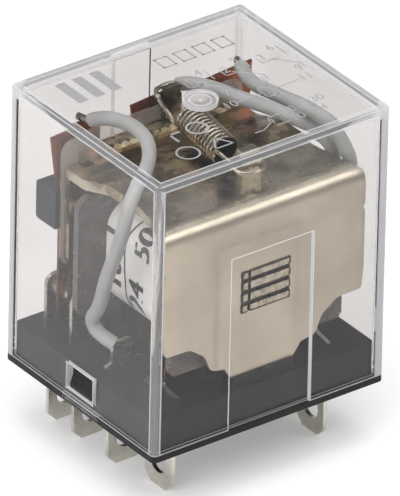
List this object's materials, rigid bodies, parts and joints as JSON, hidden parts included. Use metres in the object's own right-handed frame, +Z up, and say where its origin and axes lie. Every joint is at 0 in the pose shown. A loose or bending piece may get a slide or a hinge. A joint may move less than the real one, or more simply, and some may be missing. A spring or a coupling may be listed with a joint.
{
  "type": "plug-in relay",
  "caption": "Plug-in electromagnetic relay: flat blades under a black base, and a clear cover over the coil, yoke, hinged armature, return spring and contact blades.",
  "frame": {"origin": "centre of the underside of the base's raised boss, the face that rests on the socket", "axes": "+Z up through the cover's top, +X across the width along the rows of blades, -Y towards the coil terminals and the yoke's large plate"},
  "size_m": [0.0316, 0.0276, 0.0424],
  "materials": {
    "clear_cover": "clear polycarbonate",
    "black_base": "moulded, satin",
    "nickel": "nickel plated",
    "iron": "plated, staked end",
    "tinned": "tin plated",
    "silver": "silver alloy",
    "rivet": "bright",
    "copper": "red phosphor bronze",
    "bobbin": "dark translucent",
    "winding": "enamelled copper",
    "tape": "white film tape",
    "film": "clear film",
    "carrier": "moulded",
    "spring": "dark music wire",
    "lead": "light grey sleeve",
    "solder": "tinned strands"
  },
  "bodies": {
    "case": {"base": "black_base", "bobbin": "bobbin", "coil_lead_1": "winding", "coil_lead_2": "winding", "coil_tape": "tape", "coil_terminal_1": "tinned", "coil_terminal_2": "tinned", "coil_winding": "winding", "com_terminal_1": "tinned", "com_terminal_2": "tinned", "com_terminal_3": "tinned", "core": "iron", "cover": "clear_cover", "lead_end_1": "solder", "lead_end_2": "solder", "lead_end_3": "solder", "lead_wire_1": "lead", "lead_wire_2": "lead", "lead_wire_3": "lead", "nc_contact_1": "silver", "nc_contact_2": "silver", "nc_contact_3": "silver", "nc_terminal_1": "tinned", "nc_terminal_2": "tinned", "nc_terminal_3": "tinned", "no_contact_1": "silver", "no_contact_2": "silver", "no_contact_3": "silver", "no_terminal_1": "tinned", "no_terminal_2": "tinned", "no_terminal_3": "tinned", "return_spring": "spring", "yoke": "nickel"},
    "armature_assembly": {"armature": "nickel", "insulating_film": "film", "contact_carrier": "carrier", "moving_blade_1": "copper", "moving_blade_2": "copper", "moving_blade_3": "copper", "moving_contact_1": "silver", "moving_contact_2": "silver", "moving_contact_3": "silver", "carrier_rivet_1": "rivet", "carrier_rivet_2": "rivet", "carrier_rivet_3": "rivet", "lead_tail_1": "solder", "lead_tail_2": "solder", "lead_tail_3": "solder"}
  },
  "joints": [
    {"name": "armature_pivot", "type": "hinge", "parent": "case", "child": "armature_assembly", "pos_m": [0, 0.00785, 0.0255], "axis": [-1, 0, 0], "range_deg": [0, 3.8], "stiffness_Nm_per_rad": 0.01, "springref_deg": -11.46}
  ]
}
